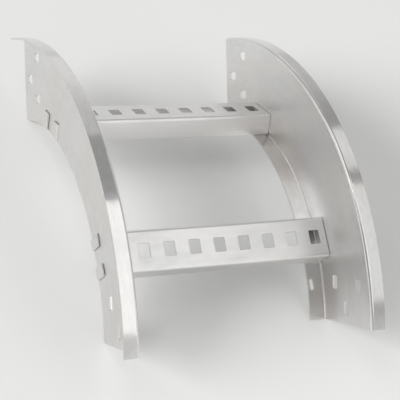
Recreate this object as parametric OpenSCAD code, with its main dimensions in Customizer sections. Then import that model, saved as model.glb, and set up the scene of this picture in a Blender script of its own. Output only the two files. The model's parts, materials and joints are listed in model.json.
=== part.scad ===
// Cable ladder elbow: two curved side rails of folded sheet, joined by perforated channel rungs.
// Lengths are in millimetres and angles in degrees. The elbow stands as an arch on its two ends:
// X runs along the rungs, Y from end to end, and Z up through the crown.

/* [Ladder] */
// Clear width between the webs of the two rails
ladder_w = 300; // [200:10:450]
// Height of a rail over both flanges
rail_h = 110; // [90:5:150]
// Bend radius of the inner flange's inner face
inside_r = 260; // [240:10:450]
// Angle that the elbow turns the ladder through
sweep = 90; // [85:1:100]

/* [Rail section] */
// Sheet thickness of the rails
rail_t = 2; // [1.5:0.1:3]
// Inside radius of the folds in a rail
rail_bend_r = 2; // [1:0.25:4]
// Width of the outer flange, turned away from the ladder, over the web
outer_flange_w = 20; // [15:1:30]
// Width of the inner flange, turned under the rungs, over the web
inner_flange_w = 24; // [18:1:32]

/* [Splice slots] */
// Length of a slot, along the ladder
slot_l = 17; // [12:0.5:20]
// Width of a slot, across the rail
slot_w = 11; // [7:0.5:13]
// Corner radius of a slot
slot_corner_r = 2.5; // [1:0.25:3]
// Distance of the pair of slots from the rail's end
pair_setback = 50; // [44:1:60]
// Spacing of the pair across the rail
pair_spacing = 54; // [36:1:60]
// Distance of the single middle slot from the rail's end
single_setback = 20; // [16:1:24]

/* [Rungs] */
// Angle of each rung from the crown
rung_angle = 23.4; // [18:0.2:25]
// Width of a rung, along the ladder
rung_w = 52; // [40:1:60]
// Height of a rung
rung_h = 28; // [24:1:36]
// Sheet thickness of the rungs
rung_t = 2; // [1.5:0.1:2.5]
// Inside radius of the folds in a rung
rung_bend_r = 2; // [1:0.25:3]
// Spacing of the tie holes
hole_pitch = 33.3; // [26:0.1:40]
// Size of a tie hole along the rung
hole_l = 15; // [8:0.5:20]
// Size of a tie hole across the rung
hole_w = 18; // [10:0.5:24]
// Corner radius of a tie hole
hole_corner_r = 1.5; // [0.5:0.25:3]
// Least distance from a hole's centre to a rail's web
hole_margin = 14; // [12:1:20]

/* [Rung lugs] */
// Length of a lug that lies on the rail's outer face
lug_l = 12.5; // [10:0.5:16]
// Inside radius of a lug's fold
lug_bend_r = 1; // [0.75:0.25:1.5]
// Distance of a lug from the folds at its two sides
lug_setback = 0.5; // [0.5:0.5:3]

/* [Fits] */
// Gap between a lug and its slot in the web
lug_clear = 0.5; // [0.2:0.1:0.8]
// Gap between a folded lug and the web's outer face
lug_lift = 0.5; // [0.4:0.05:0.6]
// Gap between a rung's feet and the inner flanges it stands on
seat_gap = 0.1; // [0.05:0.05:0.3]
// Gap between a rung's ends and the rails' webs
end_gap = 0.5; // [0.2:0.1:0.8]

/* [Hidden] */
$fn = 96;
cut_margin = 1;
web_in = ladder_w / 2;
web_out = web_in + rail_t;
outside_r = inside_r + rail_h;
mid_r = (inside_r + outside_r) / 2;
rail_fold_r = rail_bend_r + rail_t;
rung_fold_r = rung_bend_r + rung_t;
lug_fold_r = lug_bend_r + rung_t;
// Height of the centre of curvature, with the ends of the inner flanges on the floor
centre_z = -inside_r * cos(sweep / 2);
// A rung's sides stand on the inner flange, which is round, so their inner corners touch it first
rung_foot_z = sqrt(pow(inside_r + rail_t, 2) - pow(rung_w / 2 - rung_t, 2)) + seat_gap;
rung_face_z = rung_foot_z + rung_h;
// A lug takes the flat part of a rung's side, above the rail's fold and under the rung's own
lug_z = rung_foot_z + rail_bend_r + lug_setback;
lug_w = rung_h - rung_fold_r - rail_bend_r - 2 * lug_setback;
// Where a lug's fold starts, measured along the rung from its middle
lug_fold_x = web_out + lug_lift - lug_bend_r;
// How far a lug's fold leans out of the straight part where it leaves the web
lug_lean = lug_bend_r - sqrt(pow(lug_bend_r, 2) - pow(max(lug_bend_r - lug_lift, 0), 2));
hole_steps = floor((web_in - hole_margin) / hole_pitch);

// A quarter of a ring in the first quadrant, the section of a fold
module fold(outer_r, inner_r) {
    intersection() {
        difference() {
            circle(outer_r);
            circle(inner_r);
        }
        square(outer_r);
    }
}

// A centred rectangle with round corners
module rounded_rect(length, width, r) {
    square([length - 2 * r, width], center = true);
    square([length, width - 2 * r], center = true);
    for (x = [-1, 1], y = [-1, 1])
        translate([x * (length / 2 - r), y * (width / 2 - r)])
            circle(r);
}

// Turns a child from the crown to an angle towards the front end; its Z then points radially outwards
module at_angle(angle) {
    translate([0, 0, centre_z])
        rotate([angle, 0, 0])
            children();
}

// Section of the right rail, with the radius along X and the ladder's width along Y
module rail_section() {
    translate([inside_r + rail_fold_r, web_in])
        square([rail_h - 2 * rail_fold_r, rail_t]);
    translate([outside_r - rail_fold_r, web_in + rail_fold_r])
        mirror([0, 1])
            fold(rail_fold_r, rail_bend_r);
    translate([outside_r - rail_t, web_in + rail_fold_r])
        square([rail_t, outer_flange_w - rail_fold_r]);
    translate([inside_r + rail_fold_r, web_out - rail_fold_r])
        mirror([1, 0])
            fold(rail_fold_r, rail_bend_r);
    translate([inside_r, web_out - inner_flange_w])
        square([rail_t, inner_flange_w - rail_fold_r]);
}

// A cut through the right web, drawn in a plane whose X is along the ladder and whose Y is radial
module web_cut() {
    translate([web_in - cut_margin, 0, 0])
        rotate([90, 0, 90])
            linear_extrude(rail_t + 2 * cut_margin)
                children();
}

// The three splice slots at one end of the right web
module splice_slots() {
    at_angle(sweep / 2)
        web_cut() {
            for (side = [-1, 1])
                translate([pair_setback, mid_r + side * pair_spacing / 2])
                    rounded_rect(slot_l, slot_w, slot_corner_r);
            translate([single_setback, mid_r])
                rounded_rect(slot_l, slot_w, slot_corner_r);
        }
}

// The slots in the right web for the two lugs of one rung
module lug_slots() {
    at_angle(rung_angle)
        web_cut()
            for (side = [0, 1])
                mirror([side, 0])
                    translate([rung_w / 2 - rung_t - lug_lean - lug_clear, lug_z - lug_clear])
                        square([rung_t + lug_lean + 2 * lug_clear, lug_w + 2 * lug_clear]);
}

module right_rail() {
    difference() {
        translate([0, 0, centre_z])
            rotate([0, 90, 0])
                rotate([0, 0, 180 - sweep / 2])
                    rotate_extrude(angle = sweep)
                        rail_section();
        for (end = [0, 1])
            mirror([0, end, 0]) {
                splice_slots();
                lug_slots();
            }
    }
}

// Section of a rung's channel, open towards the inside of the bend
module rung_section() {
    translate([-rung_w / 2 + rung_fold_r, rung_face_z - rung_t])
        square([rung_w - 2 * rung_fold_r, rung_t]);
    for (side = [0, 1])
        mirror([side, 0]) {
            translate([rung_w / 2 - rung_fold_r, rung_face_z - rung_fold_r])
                fold(rung_fold_r, rung_bend_r);
            translate([rung_w / 2 - rung_t, rung_foot_z])
                square([rung_t, rung_h - rung_fold_r]);
        }
}

// One lug, seen along its width: straight out through the web, then folded over its outer face
module lug_outline() {
    straight_x = web_in - end_gap - cut_margin;
    translate([straight_x, rung_w / 2 - rung_t])
        square([lug_fold_x - straight_x, rung_t]);
    translate([lug_fold_x, rung_w / 2 - lug_fold_r])
        fold(lug_fold_r, lug_bend_r);
    translate([lug_fold_x + lug_bend_r, rung_w / 2 - lug_fold_r - lug_l])
        square([rung_t, lug_l]);
}

// Corners cut from a rung's feet, to clear the fold between the rail's web and inner flange
module foot_notches() {
    notch_l = rail_bend_r + end_gap;
    for (end = [0, 1])
        mirror([end, 0, 0])
            translate([web_in - notch_l, -rung_w / 2 - cut_margin, rung_foot_z - cut_margin])
                cube([notch_l + cut_margin, rung_w + 2 * cut_margin, rail_bend_r + cut_margin]);
}

// A rung at the crown; at_angle() takes it to its place
module rung() {
    channel_l = ladder_w - 2 * end_gap;
    difference() {
        translate([-channel_l / 2, 0, 0])
            rotate([90, 0, 90])
                linear_extrude(channel_l)
                    rung_section();
        translate([0, 0, rung_face_z - rung_t - cut_margin])
            linear_extrude(rung_t + 2 * cut_margin)
                for (step = [-hole_steps : hole_steps])
                    translate([step * hole_pitch, 0])
                        rounded_rect(hole_l, hole_w, hole_corner_r);
        foot_notches();
    }
    for (x = [0, 1], y = [0, 1])
        mirror([x, 0, 0])
            mirror([0, y, 0])
                translate([0, 0, lug_z])
                    linear_extrude(lug_w)
                        lug_outline();
}

module side_rail_left() {
    color("silver")
        mirror([1, 0, 0])
            right_rail();
}

module side_rail_right() {
    color("silver")
        right_rail();
}

module rung_rear() {
    color("gainsboro")
        at_angle(-rung_angle)
            rung();
}

module rung_front() {
    color("gainsboro")
        at_angle(rung_angle)
            rung();
}

side_rail_left();
side_rail_right();
rung_rear();
rung_front();
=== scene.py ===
"""Looks of a cable ladder elbow: two curved side rails of folded sheet steel and two perforated rungs.

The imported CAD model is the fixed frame. The elbow stands as an arch on the ends of its rails: X runs
along the rungs, Y from the front end to the rear end and Z up through the crown. Lengths are in metres.
"""

from __future__ import annotations

import json
import logging
import math
from dataclasses import dataclass
from enum import Enum

import bpy
import numpy as np
from mathutils import Matrix

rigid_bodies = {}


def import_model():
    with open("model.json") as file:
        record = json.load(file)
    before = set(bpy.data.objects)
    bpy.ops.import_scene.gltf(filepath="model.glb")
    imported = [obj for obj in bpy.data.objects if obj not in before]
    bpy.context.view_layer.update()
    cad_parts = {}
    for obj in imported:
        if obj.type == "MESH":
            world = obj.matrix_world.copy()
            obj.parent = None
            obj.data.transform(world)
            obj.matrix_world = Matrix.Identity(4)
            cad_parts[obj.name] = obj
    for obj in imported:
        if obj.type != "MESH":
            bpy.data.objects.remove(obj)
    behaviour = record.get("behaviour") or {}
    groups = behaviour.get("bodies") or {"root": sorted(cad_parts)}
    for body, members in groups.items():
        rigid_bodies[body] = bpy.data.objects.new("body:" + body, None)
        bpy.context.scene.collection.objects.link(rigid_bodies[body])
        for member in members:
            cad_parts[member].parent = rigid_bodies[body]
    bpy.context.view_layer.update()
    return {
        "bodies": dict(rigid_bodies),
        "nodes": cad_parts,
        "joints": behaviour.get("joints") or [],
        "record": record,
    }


LOG = logging.getLogger("elbow")
MILLIMETRE = 0.001

Colour = tuple[float, float, float]
Point = tuple[float, float, float]
Range = tuple[float, float]
Socket = bpy.types.NodeSocket
Value = float | Socket

WHITE: Colour = (1.0, 1.0, 1.0)
# Ends of a share, and of one coordinate of a direction
WHOLE: Range = (0.0, 1.0)
BOTH_WAYS: Range = (-1.0, 1.0)
# Turn in degrees that lays a softbox's long side along the line that an outer flange mirrors
FLANGE_TURN = 38.75


@dataclass(frozen=True)
class SheetFinish:
    """The surface of one kind of sheet.

    Attributes:
        name: Name of the material.
        bright: Colour of the clean metal.
        dull: Colour of the metal where handling has clouded it.
        warm: Colour that the clean metal drifts to.
        smooth: Roughness of the clean metal.
        rough: Roughness of the clouded metal.
        cloudiness: How far the clouds take the colour from clean to dull.
        wave_depth: Depth of the shallow waves that forming leaves in the sheet.
        streak_depth: Depth of the rolling streaks.
        wave_length: Length of the waves.
        streakiness: How far the streaks take the colour to dull on a flat face.
        streak_relief: How far the streaks change the roughness.
        edge: Colour of the punched and sheared edges.
    """

    name: str
    bright: Colour
    dull: Colour
    warm: Colour
    smooth: float
    rough: float
    cloudiness: float
    wave_depth: float
    streak_depth: float
    wave_length: float = 70 * MILLIMETRE
    streakiness: float = 0.25
    streak_relief: float = 0.12
    edge: Colour = (0.88, 0.88, 0.87)


RAIL_FINISH = SheetFinish(
    name="rail_satin_steel",
    bright=(0.815, 0.82, 0.825), dull=(0.735, 0.725, 0.71), warm=(0.825, 0.795, 0.77),
    smooth=0.315, rough=0.39, cloudiness=1.0,
    wave_depth=0.42 * MILLIMETRE, streak_depth=0.002 * MILLIMETRE, streak_relief=0.14)
RUNG_FINISH = SheetFinish(
    name="rung_satin_steel",
    bright=(0.82, 0.82, 0.815), dull=(0.77, 0.765, 0.75), warm=(0.83, 0.815, 0.80),
    smooth=0.34, rough=0.42, cloudiness=0.5,
    wave_depth=0.05 * MILLIMETRE, streak_depth=0.003 * MILLIMETRE)


@dataclass(frozen=True)
class Grain:
    """One noise that marks a sheet.

    Attributes:
        scale: Grains in one metre along the sheet, across it and through it.
        detail: Number of finer layers.
        roughness: Strength of the finer layers.
        distortion: How far the noise is bent by itself.
    """

    scale: Point
    detail: float
    roughness: float = 0.5
    distortion: float = 0.0


class Graph:
    """A node tree, with short ways to add its nodes and to join their sockets."""

    def __init__(self, tree: bpy.types.NodeTree) -> None:
        """Takes the tree and clears it.

        Args:
            tree: The node tree to fill.
        """
        self.tree = tree
        self.tree.nodes.clear()

    def add(self, kind: str, **settings: object) -> bpy.types.Node:
        """Adds a node.

        Args:
            kind: Blender's type name of the node.
            **settings: Attributes to set on the node.

        Returns:
            The new node.
        """
        node = self.tree.nodes.new(kind)
        for key, setting in settings.items():
            setattr(node, key, setting)
        return node

    def feed(self, socket: Socket, value: Value | Colour) -> None:
        """Joins a socket to the input, or sets the input to a plain value.

        Args:
            socket: The input socket.
            value: A socket to join, a number, a vector or a colour.
        """
        if isinstance(value, Socket):
            self.tree.links.new(value, socket)
        elif socket.type == "RGBA":
            socket.default_value = (*value, 1.0)
        else:
            socket.default_value = value

    def math(self, operation: str, *values: Value) -> Socket:
        """Adds a Math node.

        Args:
            operation: Name of the operation.
            *values: Its operands, as sockets or numbers.

        Returns:
            The node's output.
        """
        node = self.add("ShaderNodeMath", operation=operation)
        for socket, value in zip(node.inputs, values):
            self.feed(socket, value)
        return node.outputs[0]

    def span(self, value: Value, read: Range, give: tuple[Value, Value] = WHOLE) -> Socket:
        """Adds a Map Range node that eases from one end to the other and stays within them.

        Args:
            value: The value to map.
            read: The range that is read.
            give: What the two ends of that range become.

        Returns:
            The mapped value.
        """
        node = self.add("ShaderNodeMapRange", interpolation_type="SMOOTHSTEP")
        for socket, setting in zip(node.inputs, (value, *read, *give)):
            self.feed(socket, setting)
        return node.outputs["Result"]

    def blend(self, share: Value, start: Value | Colour, end: Value | Colour) -> Socket:
        """Adds a node that mixes two colours.

        Args:
            share: How much of the second colour there is.
            start: The first colour.
            end: The second colour.

        Returns:
            The mixed colour.
        """
        node = self.add("ShaderNodeMix", data_type="RGBA")
        sockets = [socket for socket in node.inputs if socket.enabled]
        for socket, value in zip(sockets, (share, start, end)):
            self.feed(socket, value)
        return next(socket for socket in node.outputs if socket.enabled)

    def parts(self, vector: Socket) -> tuple[Socket, ...]:
        """Adds a node that splits coordinates.

        Args:
            vector: Coordinates.

        Returns:
            Their X, Y and Z.
        """
        node = self.add("ShaderNodeSeparateXYZ")
        self.feed(node.inputs[0], vector)
        return tuple(node.outputs)

    def stretch(self, vector: Socket, scale: Point) -> Socket:
        """Adds a Mapping node that only scales.

        Args:
            vector: Coordinates.
            scale: Scale along each axis.

        Returns:
            The scaled coordinates.
        """
        node = self.add("ShaderNodeMapping")
        self.feed(node.inputs["Vector"], vector)
        self.feed(node.inputs["Scale"], scale)
        return node.outputs[0]

    def noise(self, vector: Socket, scale: Value, detail: float = 0.0, roughness: float = 0.5,
              distortion: float = 0.0) -> Socket:
        """Adds a noise texture.

        Args:
            vector: Coordinates.
            scale: Scale of the noise, the same along all axes.
            detail: Number of finer layers.
            roughness: Strength of the finer layers.
            distortion: How far the noise is bent by itself.

        Returns:
            The noise, about 0 to 1.
        """
        node = self.add("ShaderNodeTexNoise")
        for label, value in (("Vector", vector), ("Scale", scale), ("Detail", detail),
                             ("Roughness", roughness), ("Distortion", distortion)):
            self.feed(node.inputs[label], value)
        return node.outputs[0]

    def grained(self, vector: Socket, grain: Grain) -> Socket:
        """Adds a noise texture with the scales and layers of a grain."""
        scaled = self.stretch(vector, grain.scale)
        return self.noise(scaled, 1.0, grain.detail, grain.roughness, grain.distortion)

    def bump(self, height: Socket, depth: float, normal: Socket) -> Socket:
        """Adds a Bump node.

        Args:
            height: Height, about 0 to 1.
            depth: Depth of a height of 1.
            normal: The normal to bend.

        Returns:
            The bent normal.
        """
        node = self.add("ShaderNodeBump")
        for label, value in (("Strength", 1.0), ("Distance", depth), ("Height", height),
                             ("Normal", normal)):
            self.feed(node.inputs[label], value)
        return node.outputs[0]

    def effect(self, group: bpy.types.NodeTree, **inputs: Value) -> bpy.types.bpy_prop_collection:
        """Places a shared effect.

        Args:
            group: The effect's node group.
            **inputs: What its named inputs get.

        Returns:
            Its outputs.
        """
        node = self.add("ShaderNodeGroup", node_tree=group)
        for label, value in inputs.items():
            self.feed(node.inputs[label], value)
        return node.outputs


class SheetEffects:
    """Shader node groups that the finishes share. Their coordinates are metres, with X along the sheet."""

    # Noises of the effects
    broad_streaks: Grain = Grain((5.0, 260.0, 260.0), detail=3.0)
    narrow_streaks: Grain = Grain((12.0, 800.0, 800.0), detail=2.0)
    broad_clouds: Grain = Grain((14.0, 22.0, 22.0), detail=5.0, roughness=0.6, distortion=0.6)
    fine_clouds: Grain = Grain((90.0, 140.0, 140.0), detail=4.0, roughness=0.6)
    warm_drift: Grain = Grain((9.0, 16.0, 16.0), detail=2.0)
    worn_spots: Grain = Grain((240.0, 240.0, 240.0), detail=3.0)
    # Shares of the second, finer noise in each effect
    narrow_share: float = 0.5
    fine_share: float = 0.35
    ripple_share: float = 0.25
    dent_share: float = 0.25
    # How many ripples and how many small dents go on one forming wave
    ripples: float = 2.6
    dents: float = 6.0
    # Middle of the streaks, and the parts of the noises that become a full change
    streak_middle: float = 0.5
    streak_range: Range = (0.35, 0.65)
    cloud_range: Range = (0.38, 0.66)
    warm_range: Range = (0.3, 0.7)
    worn_range: Range = (0.25, 0.55)
    # Least wear of an edge, and the cosines of the turns at which an edge starts and is full
    least_wear: float = 0.45
    edge_range: Range = (0.995, 0.85)

    def __init__(self) -> None:
        """Builds each group once."""
        self.streaks = self._rolling_streaks()
        self.clouds = self._handling_clouds()
        self.waves = self._forming_waves()
        self.edges = self._sheared_edges()

    @staticmethod
    def _group(name: str, vectors: tuple[str, ...], numbers: tuple[str, ...],
               results: tuple[str, ...]) -> tuple[Graph, dict[str, Socket], dict[str, Socket]]:
        """Starts a node group.

        Args:
            name: Name of the group.
            vectors: Names of the inputs that are vectors.
            numbers: Names of the inputs that are numbers.
            results: Names of the outputs, which are numbers.

        Returns:
            The group's graph, its inner inputs and its inner outputs, by name.
        """
        tree = bpy.data.node_groups.new(name, "ShaderNodeTree")
        for label in vectors:
            tree.interface.new_socket(label, in_out="INPUT", socket_type="NodeSocketVector")
        for label in numbers:
            tree.interface.new_socket(label, in_out="INPUT", socket_type="NodeSocketFloat")
        for label in results:
            tree.interface.new_socket(label, in_out="OUTPUT", socket_type="NodeSocketFloat")
        graph = Graph(tree)
        entry, leave = graph.add("NodeGroupInput"), graph.add("NodeGroupOutput")
        return (graph, {label: entry.outputs[label] for label in (*vectors, *numbers)},
                {label: leave.inputs[label] for label in results})

    @staticmethod
    def _mixed(graph: Graph, coarse: Socket, fine: Socket, share: float) -> Socket:
        """Adds two noises, with a share of the finer one.

        Args:
            graph: The group's graph.
            coarse: The broad noise.
            fine: The finer noise.
            share: Share of the finer noise.

        Returns:
            The sum, about 0 to 1.
        """
        return graph.math("MULTIPLY_ADD", fine, share, graph.math("MULTIPLY", coarse, 1.0 - share))

    def _rolling_streaks(self) -> bpy.types.NodeTree:
        """Fine lines along the sheet: noise that is drawn out along X, in a broad and a narrow layer.

        Returns:
            The group. Streaks is about 0 to 1.
        """
        graph, given, put = self._group("rolling_streaks", ("Vector",), (), ("Streaks",))
        broad = graph.grained(given["Vector"], self.broad_streaks)
        narrow = graph.grained(given["Vector"], self.narrow_streaks)
        graph.feed(put["Streaks"], self._mixed(graph, broad, narrow, self.narrow_share))
        return graph.tree

    def _handling_clouds(self) -> bpy.types.NodeTree:
        """Clouded patches from handling: broad noise, broken up by finer noise.

        Returns:
            The group. Clouds is a mask, and Warmth a slower change of tint, about 0 to 1.
        """
        graph, given, put = self._group("handling_clouds", ("Vector",), (), ("Clouds", "Warmth"))
        broad = graph.grained(given["Vector"], self.broad_clouds)
        fine = graph.grained(given["Vector"], self.fine_clouds)
        patchy = self._mixed(graph, broad, fine, self.fine_share)
        graph.feed(put["Clouds"], graph.span(patchy, self.cloud_range))
        warmth = graph.grained(given["Vector"], self.warm_drift)
        graph.feed(put["Warmth"], graph.span(warmth, self.warm_range))
        return graph.tree

    def _forming_waves(self) -> bpy.types.NodeTree:
        """Shallow waves that forming leaves in a sheet: smooth noise, with ripples and small dents.

        Returns:
            The group. Height is about 0 to 1, times the share.
        """
        numbers = ("Wave Length", "Share")
        graph, given, put = self._group("forming_waves", ("Vector",), numbers, ("Height",))
        per_metre = graph.math("DIVIDE", 1.0, given["Wave Length"])
        wave = graph.noise(given["Vector"], per_metre)
        ripple = graph.noise(given["Vector"], graph.math("MULTIPLY", per_metre, self.ripples))
        dent = graph.noise(given["Vector"], graph.math("MULTIPLY", per_metre, self.dents))
        rippled = self._mixed(graph, wave, ripple, self.ripple_share)
        dented = self._mixed(graph, rippled, dent, self.dent_share)
        graph.feed(put["Height"], graph.math("MULTIPLY", dented, given["Share"]))
        return graph.tree

    def _sheared_edges(self) -> bpy.types.NodeTree:
        """Bright metal along edges: where the eased normal turns away from the face's own normal.

        Returns:
            The group. Edge is a mask that fine noise breaks up.
        """
        graph, given, put = self._group("sheared_edges", ("Vector", "Normal", "Eased"), (), ("Edge",))
        turn = graph.add("ShaderNodeVectorMath", operation="DOT_PRODUCT")
        graph.feed(turn.inputs[0], given["Normal"])
        graph.feed(turn.inputs[1], given["Eased"])
        spots = graph.grained(given["Vector"], self.worn_spots)
        wear = graph.span(spots, self.worn_range, (self.least_wear, 1.0))
        turned = graph.span(turn.outputs["Value"], self.edge_range)
        graph.feed(put["Edge"], graph.math("MULTIPLY", turned, wear))
        return graph.tree


@dataclass(frozen=True)
class SheetPieces:
    """Pieces of folded sheet that share one finish and keep their CAD shapes.

    Attributes:
        names: Names of the pieces.
        finish: Their finish.
        edge_reach: Radius to which edges are eased, for the light alone.
        edge_samples: Rays that feel for an edge.
    """

    names: tuple[str, ...]
    finish: SheetFinish
    edge_reach: float = 0.7 * MILLIMETRE
    edge_samples: int = 6

    def dress(self, nodes: dict[str, bpy.types.Object], effects: SheetEffects) -> None:
        """Gives each piece the finish in all its material slots.

        Args:
            nodes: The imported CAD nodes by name.
            effects: The shared node groups.
        """
        material = self._material(effects)
        for name in self.names:
            mesh = nodes[name].data
            for index in range(len(mesh.materials)):
                mesh.materials[index] = material
            LOG.info("%s: %d faces in %s", name, len(mesh.polygons), material.name)

    def _run(self, graph: Graph) -> Socket:
        """Coordinates along the sheet, across it and through it: here the piece's own X, Y and Z."""
        return graph.add("ShaderNodeTexCoord").outputs["Object"]

    def _wave_share(self, graph: Graph, run: Socket) -> Value:
        """How much of the forming waves a place has: here the same all over."""
        return 1.0

    def _cloud_share(self, graph: Graph, run: Socket) -> Value:
        """How much of the handling clouds a place has: here the same all over."""
        return 1.0

    def _streak_share(self, graph: Graph, run: Socket) -> Value:
        """How far the streaks dull the colour of a place: here the same all over."""
        return self.finish.streakiness

    def _burnished(self, graph: Graph, run: Socket, roughness: Socket) -> Socket:
        """The roughness of a place after forming: here as it was."""
        return roughness

    def _material(self, effects: SheetEffects) -> bpy.types.Material:
        """Builds the finish's material.

        Args:
            effects: The shared node groups.

        Returns:
            The material.
        """
        finish = self.finish
        material = bpy.data.materials.new(finish.name)
        material.use_nodes = True
        graph = Graph(material.node_tree)
        run = self._run(graph)
        streaks = graph.effect(effects.streaks, Vector=run)["Streaks"]
        clouds = graph.effect(effects.clouds, Vector=run)
        waves = graph.effect(effects.waves, Vector=run, Share=self._wave_share(graph, run),
                             **{"Wave Length": finish.wave_length})["Height"]
        eased = graph.add("ShaderNodeBevel", samples=self.edge_samples)
        graph.feed(eased.inputs["Radius"], self.edge_reach)
        plain = graph.add("ShaderNodeNewGeometry").outputs["Normal"]
        edge = graph.effect(effects.edges, Vector=run, Normal=plain, Eased=eased.outputs[0])["Edge"]

        tinted = graph.blend(clouds["Warmth"], finish.bright, finish.warm)
        cover = graph.math("MULTIPLY", clouds["Clouds"], self._cloud_share(graph, run))
        cloud = graph.math("MULTIPLY", cover, finish.cloudiness)
        lines = graph.span(streaks, effects.streak_range)
        streak = graph.math("MULTIPLY", lines, self._streak_share(graph, run))
        dulled = graph.blend(streak, graph.blend(cloud, tinted, finish.dull), finish.dull)

        clouded = graph.span(clouds["Clouds"], WHOLE, (finish.smooth, finish.rough))
        off_middle = graph.math("SUBTRACT", streaks, effects.streak_middle)
        relief = graph.math("MULTIPLY", off_middle, finish.streak_relief)
        roughness = self._burnished(graph, run, graph.math("ADD", clouded, relief))
        wavy = graph.bump(waves, finish.wave_depth, eased.outputs[0])

        shader = graph.add("ShaderNodeBsdfPrincipled")
        graph.feed(shader.inputs["Metallic"], 1.0)
        graph.feed(shader.inputs["Base Color"], graph.blend(edge, dulled, finish.edge))
        graph.feed(shader.inputs["Roughness"], roughness)
        graph.feed(shader.inputs["Normal"], graph.bump(streaks, finish.streak_depth, wavy))
        output = graph.add("ShaderNodeOutputMaterial")
        graph.feed(output.inputs["Surface"], shader.outputs[0])
        return material


@dataclass(frozen=True)
class Bend:
    """The bend that the rails follow and the rungs are set round.

    Attributes:
        inside_radius: Radius of the inner flanges' inner faces.
        half_sweep: Half of the angle that it turns through, in degrees.
    """

    inside_radius: float = 260 * MILLIMETRE
    half_sweep: float = 45.0

    @property
    def centre_depth(self) -> float:
        """Depth of the bend's centre under the floor, on which the inner flanges' ends stand."""
        return self.inside_radius * math.cos(math.radians(self.half_sweep))


@dataclass(frozen=True)
class SideRails(SheetPieces):
    """The two curved rails, each a web with an outer and an inner flange.

    Attributes:
        bend: The bend that they follow.
        height: Height of a rail over both flanges.
        flat_reach: How far the web stays flat on each side of its middle.
        web_waves: Share of the forming waves that the web has.
        web_clouds: Share of the handling clouds that the web has.
        burnish: What forming leaves of the flanges' roughness.
        burnish_range: Distances from the web's middle between which that begins, at the folds.
    """

    names: tuple[str, ...] = ("side_rail_left", "side_rail_right")
    finish: SheetFinish = RAIL_FINISH
    bend: Bend = Bend()
    height: float = 110 * MILLIMETRE
    flat_reach: float = 40 * MILLIMETRE
    web_waves: float = 0.1
    web_clouds: float = 0.5
    burnish: float = 0.39
    burnish_range: Range = (49 * MILLIMETRE, 53.5 * MILLIMETRE)

    @property
    def middle_radius(self) -> float:
        """Radius of the middle of the webs."""
        return self.bend.inside_radius + self.height / 2

    def _run(self, graph: Graph) -> Socket:
        """Coordinates that follow the bend.

        The first is the angle round the bend's centre times the middle radius, the second the distance
        from that centre and the third the place across the ladder.

        Args:
            graph: The material's graph.

        Returns:
            The coordinates, in metres.
        """
        across, along, up = graph.parts(super()._run(graph))
        rise = graph.math("ADD", up, self.bend.centre_depth)
        angle = graph.math("ARCTAN2", along, rise)
        square = graph.math("MULTIPLY_ADD", along, along, graph.math("MULTIPLY", rise, rise))
        joined = graph.add("ShaderNodeCombineXYZ")
        graph.feed(joined.inputs[0], graph.math("MULTIPLY", angle, self.middle_radius))
        graph.feed(joined.inputs[1], graph.math("SQRT", square))
        graph.feed(joined.inputs[2], across)
        return joined.outputs[0]

    def _wave_share(self, graph: Graph, run: Socket) -> Value:
        """How much of the forming waves a place has: all on the flanges, little on the web."""
        return self._flange_share(graph, run, self.web_waves)

    def _cloud_share(self, graph: Graph, run: Socket) -> Value:
        """How much of the handling clouds a place has: all on the flanges, less on the web."""
        return self._flange_share(graph, run, self.web_clouds)

    def _burnished(self, graph: Graph, run: Socket, roughness: Socket) -> Socket:
        """The roughness of a place after forming: the web's as it was, and less on the flanges."""
        share = graph.span(self._off_middle(graph, run), self.burnish_range, (1.0, self.burnish))
        return graph.math("MULTIPLY", roughness, share)

    def _flange_share(self, graph: Graph, run: Socket, web_share: float) -> Socket:
        """How much a place has of an effect that the flanges have whole and the web in part.

        Args:
            graph: The material's graph.
            run: Coordinates that follow the bend.
            web_share: How much of it the web has.

        Returns:
            The share.
        """
        flat_to_flange = (self.flat_reach, self.height / 2)
        return graph.span(self._off_middle(graph, run), flat_to_flange, (web_share, 1.0))

    def _off_middle(self, graph: Graph, run: Socket) -> Socket:
        """Distance of a place from the web's middle, along the radius."""
        return graph.math("ABSOLUTE", graph.math("SUBTRACT", graph.parts(run)[1], self.middle_radius))


@dataclass(frozen=True)
class Rungs(SheetPieces):
    """The two perforated channel rungs.

    Attributes:
        bend: The bend that they are set round.
        angle: Angle of each rung from the crown, in degrees.
        width: Width of a rung along the ladder.
        mark_reach: How far from a fold the rollers marked the face.
        fold_streakiness: How far the streaks take the colour to dull there.
    """

    names: tuple[str, ...] = ("rung_rear", "rung_front")
    finish: SheetFinish = RUNG_FINISH
    bend: Bend = Bend()
    angle: float = 23.4
    width: float = 52 * MILLIMETRE
    mark_reach: float = 9 * MILLIMETRE
    fold_streakiness: float = 0.35

    def _streak_share(self, graph: Graph, run: Socket) -> Value:
        """How far the streaks dull the colour of a place: most at the folds and on the channel's sides.

        The distance from a rung's middle is the height over the bend's centre times the sine of the
        rung's angle, less the distance from the crown times its cosine.

        Args:
            graph: The material's graph.
            run: The piece's own coordinates.

        Returns:
            The share.
        """
        turn = math.radians(self.angle)
        _, along, up = graph.parts(run)
        rise = graph.math("ADD", up, self.bend.centre_depth)
        high = graph.math("MULTIPLY", rise, math.sin(turn))
        far = graph.math("MULTIPLY", graph.math("ABSOLUTE", along), math.cos(turn))
        off_middle = graph.math("ABSOLUTE", graph.math("SUBTRACT", high, far))
        near_fold = (self.width / 2 - self.mark_reach, self.width / 2)
        return graph.span(off_middle, near_fold, (self.finish.streakiness, self.fold_streakiness))


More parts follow.
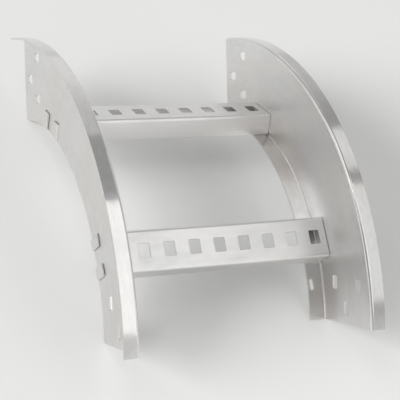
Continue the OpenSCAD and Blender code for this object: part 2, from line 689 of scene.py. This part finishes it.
def facing(backward: np.ndarray, place: Point, turn: float = 0.0) -> Matrix:
    """A frame whose Z points backward, as lamps and cameras look along minus Z.

    Args:
        backward: The direction of its Z.
        place: Its origin.
        turn: Turn about its Z, in degrees. Without it, its X is level.

    Returns:
        The frame as a matrix.
    """
    back = np.asarray(backward, float) / np.linalg.norm(backward)
    right = np.cross((0.0, 0.0, 1.0), back)
    right /= np.linalg.norm(right)
    frame = np.eye(4)
    frame[:3, :] = np.stack([right, np.cross(back, right), back, place], axis=1)
    return Matrix(frame.tolist()) @ Matrix.Rotation(math.radians(turn), 4, "Z")


def toward(azimuth: float, elevation: float) -> np.ndarray:
    """A direction from its two angles.

    Args:
        azimuth: Angle round Z, from +Y towards +X, in degrees.
        elevation: Angle above the floor, in degrees.

    Returns:
        The unit vector.
    """
    around, up = math.radians(azimuth), math.radians(elevation)
    return np.array([math.cos(up) * math.sin(around), math.cos(up) * math.cos(around), math.sin(up)])


class FloorLight(Enum):
    """Whether a lamp lights the floor: the floor's state in light linking, where the lamp needs one."""

    WITH_OBJECT = ""
    ALONE = "INCLUDE"
    NEVER = "EXCLUDE"


def hang(lamp: bpy.types.Light, frame: Matrix, floor: bpy.types.Object, share: FloorLight) -> None:
    """Puts a lamp in the scene, out of the camera's own sight.

    Args:
        lamp: The lamp, whose name its object takes.
        frame: Its place.
        floor: The floor.
        share: Whether it lights the floor.
    """
    holder = bpy.data.objects.new(lamp.name, lamp)
    holder.matrix_world = frame
    holder.visible_camera = False
    bpy.context.scene.collection.objects.link(holder)
    if share is not FloorLight.WITH_OBJECT:
        receivers = bpy.data.collections.new(f"floor_for_{lamp.name}")
        receivers.objects.link(floor)
        receivers.collection_objects[0].light_linking.link_state = share.value
        holder.light_linking.receiver_collection = receivers


@dataclass(frozen=True)
class Softbox:
    """A soft rectangular lamp.

    Attributes:
        name: Name of the lamp.
        place: Its middle.
        aim: The point it faces.
        size: Its two sides.
        level: Brightness of its face, where 1 is white.
        turn: Turn about the direction that it faces, in degrees.
        share: Whether it lights the floor.
    """

    name: str
    place: Point
    aim: Point
    size: tuple[float, float]
    level: float
    turn: float = 0.0
    share: FloorLight = FloorLight.WITH_OBJECT

    def light(self, floor: bpy.types.Object) -> None:
        """Adds the lamp. Its power is the level times pi times its area.

        Args:
            floor: The floor.
        """
        lamp = bpy.data.lights.new(self.name, "AREA")
        lamp.shape = "RECTANGLE"
        lamp.size, lamp.size_y = self.size
        lamp.energy = self.level * math.pi * self.size[0] * self.size[1]
        backward = np.subtract(self.place, self.aim)
        hang(lamp, facing(backward, self.place, self.turn), floor, self.share)


@dataclass(frozen=True)
class Window:
    """Broad light from far away that falls on the floor, whose light the metal then mirrors.

    Attributes:
        name: Name of the lamp.
        azimuth: Where it comes from, round Z from +Y, in degrees.
        elevation: How high it stands, in degrees.
        breadth: Angle that it spans, in degrees.
        level: Light that falls on a face turned to it.
    """

    name: str
    azimuth: float
    elevation: float
    breadth: float
    level: float

    def light(self, floor: bpy.types.Object) -> None:
        """Adds the lamp.

        Args:
            floor: The floor that it lights.
        """
        lamp = bpy.data.lights.new(self.name, "SUN")
        lamp.energy = self.level
        lamp.angle = math.radians(self.breadth)
        backward = toward(self.azimuth, self.elevation)
        hang(lamp, facing(backward, tuple(backward)), floor, FloorLight.ALONE)


@dataclass(frozen=True)
class Studio:
    """The pale floor, the soft surroundings and the lamps.

    Attributes:
        floor_radius: Radius of the round floor.
        floor_rings: Rings of points in the floor.
        floor_spokes: Points in each ring.
        floor_colour: Its colour.
        floor_roughness: Its roughness.
        front: Brightness of the surroundings near the floor, before the front end.
        rear: Brightness of the surroundings near the floor, behind the rear end.
        zenith: Brightness of the surroundings overhead.
        fade: Heights of a direction between which the surroundings darken to the zenith.
        window: The broad far light on the floor.
        softboxes: The lamps that the metal mirrors.
    """

    floor_radius: float = 8.0
    floor_rings: int = 24
    floor_spokes: int = 96
    floor_colour: Colour = (0.82, 0.82, 0.81)
    floor_roughness: float = 0.9
    front: float = 1.0
    rear: float = 0.57
    zenith: float = 0.36
    fade: Range = (0.25, 0.65)
    window: Window = Window("side_window", azimuth=-95.0, elevation=24.0, breadth=34.0, level=2.8)
    softboxes: tuple[Softbox, ...] = (
        Softbox("key_softbox", place=(0.397, -0.594, 1.257), aim=(-0.121, -0.236, 0.480),
                size=(1.365, 0.63), level=0.82, turn=FLANGE_TURN),
        Softbox("low_key_softbox", place=(0.822, -0.462, 1.034), aim=(0.304, -0.104, 0.258),
                size=(1.07, 0.32), level=0.48, turn=FLANGE_TURN),
        Softbox("right_softbox", place=(1.010, 0.537, 1.370), aim=(0.492, 0.895, 0.593),
                size=(0.715, 0.45), level=0.44, turn=FLANGE_TURN),
        Softbox("rear_softbox", place=(-0.79, 0.46, 1.72), aim=(0.15, -0.06, 0.18),
                size=(1.1, 1.11), level=0.80),
        Softbox("back_softbox", place=(0.555, 2.024, 1.142), aim=(-0.16, 0.0, 0.19),
                size=(1.215, 2.24), level=0.24, share=FloorLight.NEVER),
        Softbox("left_softbox", place=(-0.84, -0.18, 2.02), aim=(0.14, -0.10, 0.10),
                size=(0.8, 0.7), level=0.6),
        Softbox("front_softbox", place=(0.580, -1.403, 0.564), aim=(0.0, -0.10, 0.10),
                size=(0.58, 1.09), level=0.25, share=FloorLight.NEVER),
        Softbox("low_left_softbox", place=(-1.17, 0.43, 0.66), aim=(0.15, -0.05, 0.15),
                size=(1.8, 1.0), level=0.30, share=FloorLight.NEVER),
    )

    def build(self) -> None:
        """Adds the floor, the surroundings and the lamps."""
        self._surroundings()
        floor = self._floor()
        for lamp in (self.window, *self.softboxes):
            lamp.light(floor)

    def _floor(self) -> bpy.types.Object:
        """Adds the floor, which is no part of the object.

        Returns:
            The floor.
        """
        mesh = self._floor_mesh()
        mesh.materials.append(self._floor_material())
        floor = bpy.data.objects.new(mesh.name, mesh)
        bpy.context.scene.collection.objects.link(floor)
        return floor

    def _floor_mesh(self) -> bpy.types.Mesh:
        """A flat disc: a grid of rings and spokes, each point at its ring's radius and spoke's angle.

        The rings' radii grow with the square of their number, from a small closed face in the middle.

        Returns:
            The mesh.
        """
        rings, spokes = self.floor_rings, self.floor_spokes
        radius = self.floor_radius * np.linspace(1.0 / rings, 1.0, rings)[:, None] ** 2
        angle = np.linspace(0.0, 2.0 * np.pi, spokes, endpoint=False)
        flat = np.broadcast_arrays(radius * np.cos(angle), radius * np.sin(angle), 0.0)
        points = np.stack(flat, axis=-1).reshape(-1, 3)
        ring, spoke = np.meshgrid(np.arange(rings - 1) * spokes, np.arange(spokes), indexing="ij")
        after = (spoke + 1) % spokes
        corners_of_face = (ring + spoke, ring + spokes + spoke, ring + spokes + after, ring + after)
        faces = np.stack(corners_of_face, axis=-1).reshape(-1, 4)
        mesh = bpy.data.meshes.new("studio_floor")
        mesh.from_pydata(points.tolist(), [], [*faces.tolist(), list(range(spokes))])
        return mesh

    def _floor_material(self) -> bpy.types.Material:
        """A pale, dull finish.

        Returns:
            The material.
        """
        material = bpy.data.materials.new("pale_floor")
        material.use_nodes = True
        shader = material.node_tree.nodes["Principled BSDF"]
        shader.inputs["Base Color"].default_value = (*self.floor_colour, 1.0)
        shader.inputs["Roughness"].default_value = self.floor_roughness
        return material

    def _surroundings(self) -> None:
        """A plain world that changes from front to rear and darkens from the horizon to overhead."""
        world = bpy.data.worlds.new("soft_studio")
        world.use_nodes = True
        bpy.context.scene.world = world
        graph = Graph(world.node_tree)
        _, along, up = graph.parts(graph.add("ShaderNodeTexCoord").outputs["Generated"])
        low = graph.span(along, BOTH_WAYS, (self.front, self.rear))
        background = graph.add("ShaderNodeBackground")
        graph.feed(background.inputs["Strength"], graph.span(up, self.fade, (low, self.zenith)))
        graph.feed(background.inputs["Color"], WHITE)
        graph.feed(graph.add("ShaderNodeOutputWorld").inputs["Surface"], background.outputs[0])


@dataclass(frozen=True)
class PhotoCamera:
    """The camera at the photograph's viewing angle, rolled because the elbow stood on one end there.

    Attributes:
        azimuth: Direction of view round Z from +Y, in degrees.
        elevation: How far the view looks down, in degrees.
        roll: Turn about the direction of view, in degrees.
        distance: Distance from the target.
        target: The point in the middle of the picture.
        lens: Focal length, in millimetres.
        sensor: Width of the sensor, in millimetres.
    """

    azimuth: float = 36.287
    elevation: float = 43.687
    roll: float = 23.39
    distance: float = 1.6191
    target: Point = (0.0072, -0.0313, 0.0680)
    lens: float = 115.5
    sensor: float = 36.0

    def place(self) -> None:
        """Adds the camera and makes it the scene's."""
        backward = -toward(self.azimuth, -self.elevation)
        eye = np.add(self.target, self.distance * backward)
        data = bpy.data.cameras.new("photo_camera")
        data.lens, data.sensor_width = self.lens, self.sensor
        camera = bpy.data.objects.new("photo_camera", data)
        camera.matrix_world = facing(backward, tuple(eye), self.roll)
        bpy.context.scene.collection.objects.link(camera)
        bpy.context.scene.camera = camera


def main() -> None:
    """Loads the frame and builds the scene."""
    logging.basicConfig(level=logging.INFO, format="%(name)s: %(message)s")
    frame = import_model()
    bpy.context.scene.view_settings.view_transform = "Standard"
    effects = SheetEffects()
    for pieces in (SideRails(), Rungs()):
        pieces.dress(frame["nodes"], effects)
    Studio().build()
    PhotoCamera().place()


if __name__ == "__main__":
    main()
